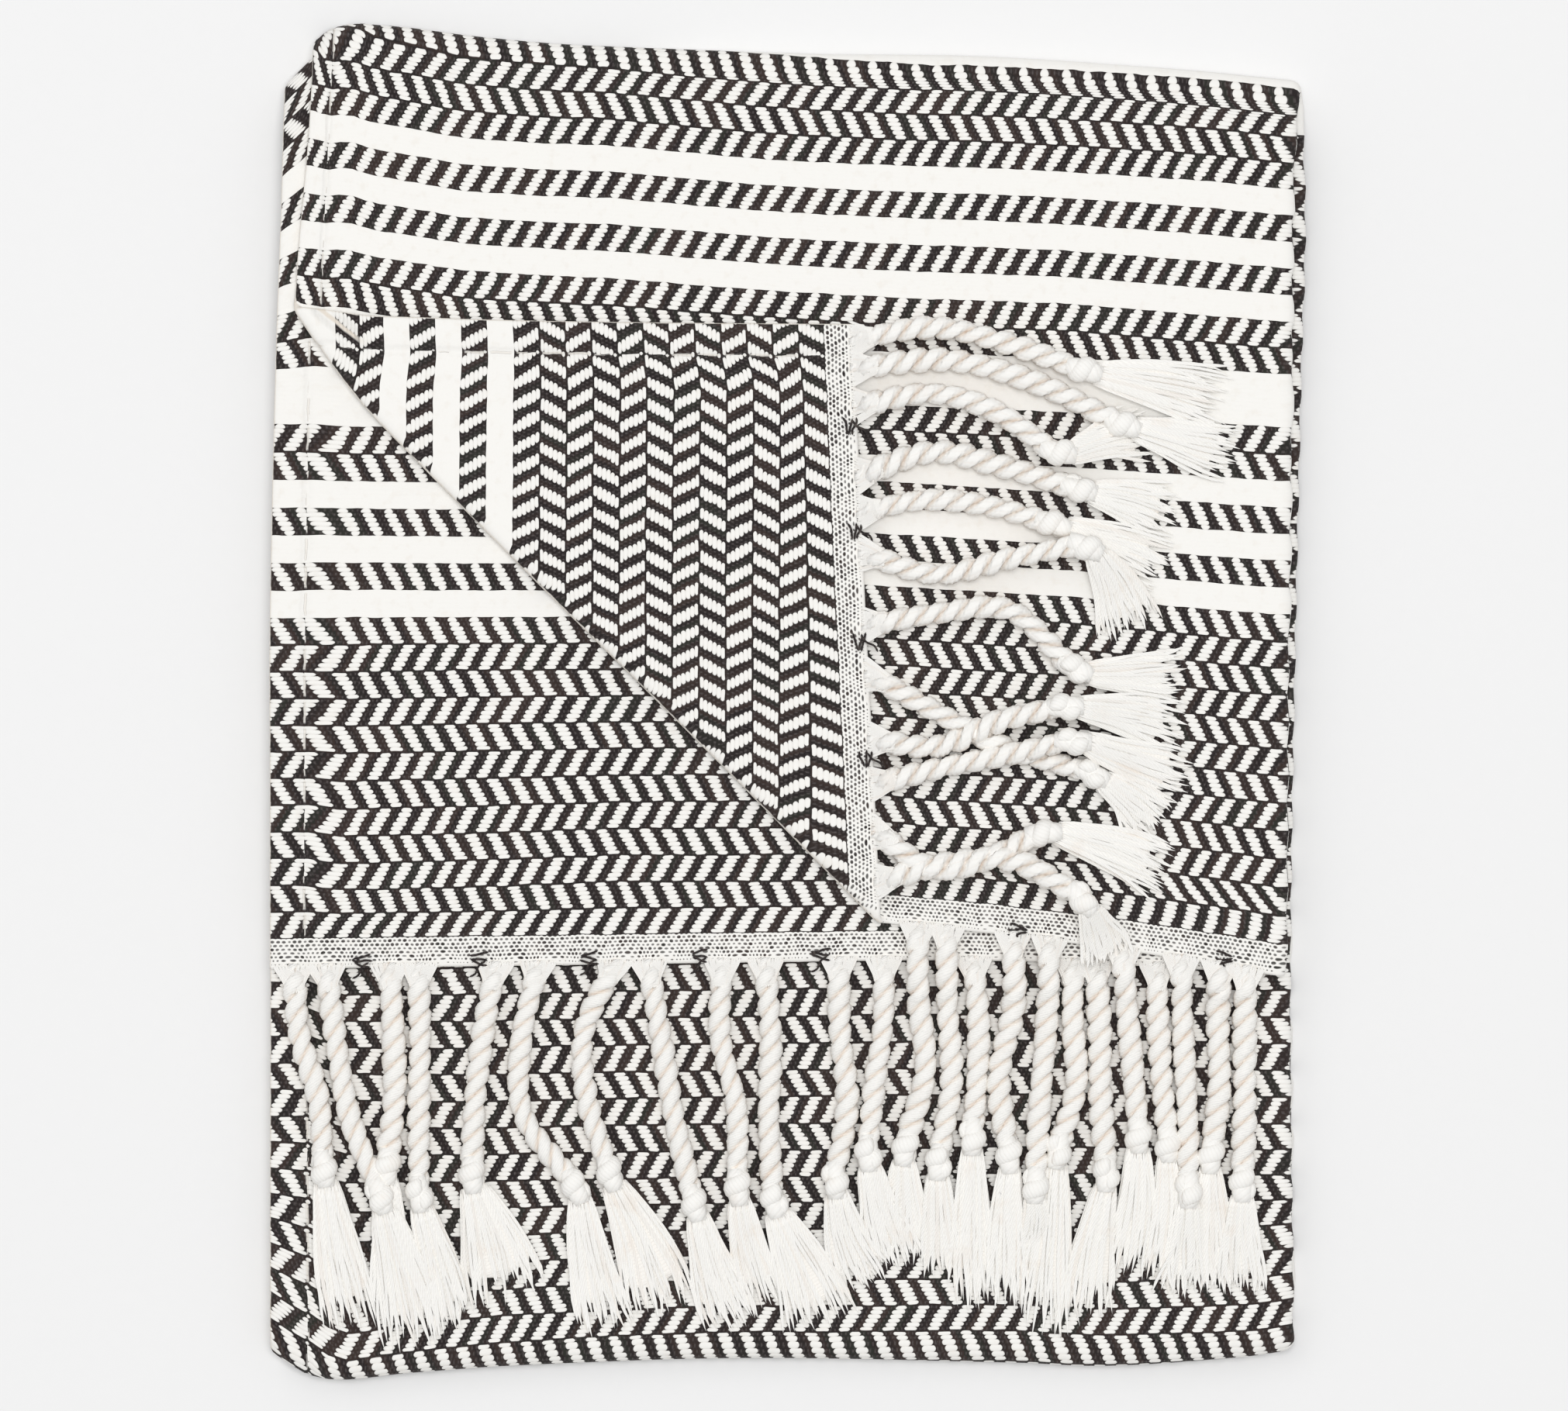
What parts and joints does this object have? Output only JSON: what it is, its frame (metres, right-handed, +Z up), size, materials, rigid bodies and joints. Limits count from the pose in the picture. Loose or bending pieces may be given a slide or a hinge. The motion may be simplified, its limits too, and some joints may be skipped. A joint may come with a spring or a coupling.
{
  "type": "folded hand towel",
  "caption": "Folded cotton hand towel in dark and light herringbone weave with plain light stripes and a twisted, knotted fringe; its near corner is turned back.",
  "frame": {"origin": "centre of the folded towel's bounding box, on the surface that it lies on", "axes": "+X to the lengthwise fold, +Y to the crosswise fold at the far side, away from the fringed end that shows, +Z up"},
  "size_m": [0.2272, 0.2986, 0.0221],
  "materials": {
    "herringbone_cloth": "matte woven cotton, charcoal herringbone on off-white",
    "fringe_yarn": "matte twisted off-white cotton yarn"
  },
  "bodies": {
    "root": {"cloth": "herringbone_cloth", "fringe_near": "fringe_yarn", "fringe_far": "fringe_yarn"}
  },
  "joints": []
}
